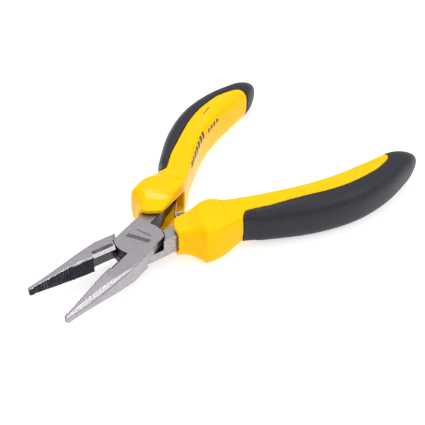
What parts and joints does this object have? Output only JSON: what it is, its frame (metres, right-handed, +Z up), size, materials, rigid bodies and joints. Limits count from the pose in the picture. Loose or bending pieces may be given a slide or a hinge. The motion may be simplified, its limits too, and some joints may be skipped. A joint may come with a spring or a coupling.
{
  "type": "needle nose pliers",
  "caption": "Mini needle nose pliers with side cutters, a riveted lap joint, a return spring and two-tone dipped handles, held open.",
  "frame": {"origin": "centre of the bottom of the box of the open pliers lying flat", "axes": "+X from the jaws to the handles along the tool, +Z up, out of the flat side; the joint's axis is along Z"},
  "size_m": [0.1189, 0.0744, 0.0126],
  "materials": {
    "steel": "ground satin, black oxide on the gripping faces",
    "rivet": "ground flush",
    "spring": "bright drawn wire",
    "yellow": "glossy moulded",
    "grey": "matt, fine grained"
  },
  "bodies": {
    "lower": {"lower_half": "steel", "return_spring": "spring", "lower_sleeve": "yellow", "lower_grip": "grey"},
    "upper": {"upper_half": "steel", "pivot_rivet": "rivet", "upper_sleeve": "yellow", "upper_grip": "grey"}
  },
  "joints": [
    {"name": "jaw_pivot", "type": "hinge", "parent": "lower", "child": "upper", "pos_m": [-0.02795, 0, 0.0063], "axis": [0, 0, -1], "range_deg": [-4, 23.4], "stiffness_Nm_per_rad": 0.15, "deforming": ["return_spring"]}
  ]
}
